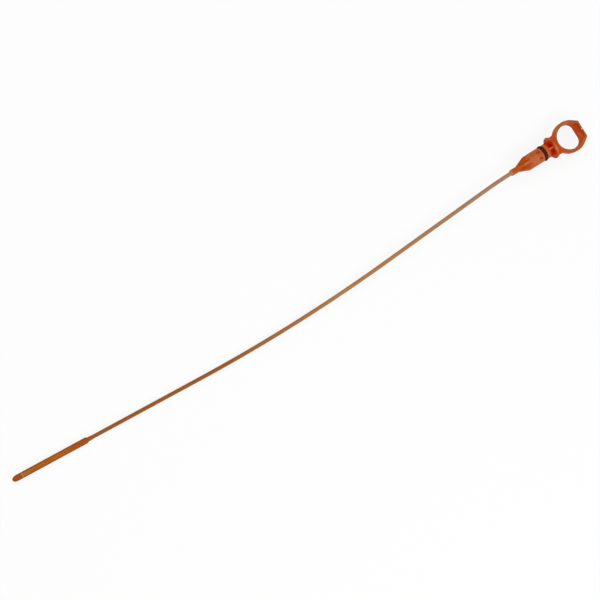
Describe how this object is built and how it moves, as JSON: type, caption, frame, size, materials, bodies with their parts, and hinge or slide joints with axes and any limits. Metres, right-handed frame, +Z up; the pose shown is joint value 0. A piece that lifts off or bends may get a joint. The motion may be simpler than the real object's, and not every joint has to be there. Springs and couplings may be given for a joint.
{
  "type": "engine oil dipstick",
  "caption": "Oil dipstick with a moulded finger-ring handle, sealed plug, long flexible rod and flat measuring blade, for reading the oil level in an engine.",
  "frame": {"origin": "on the plug's axis, in the stop face at the front of the flange", "axes": "+X along the plug from the stop face towards the blade, +Z up with the finger ring lying level, +Y to the side of the ring"},
  "size_m": [0.5976, 0.029, 0.0205],
  "materials": {
    "handle_plastic": "orange-red moulded plastic, satin gloss",
    "seal_rubber": "black rubber, lightly oiled",
    "rod_plastic": "tan brown extruded plastic, satin",
    "blade_plastic": "orange-brown moulded plastic, satin"
  },
  "bodies": {
    "root": {"handle": "handle_plastic", "seal_ring": "seal_rubber", "rod": "rod_plastic", "blade": "blade_plastic"}
  },
  "joints": []
}
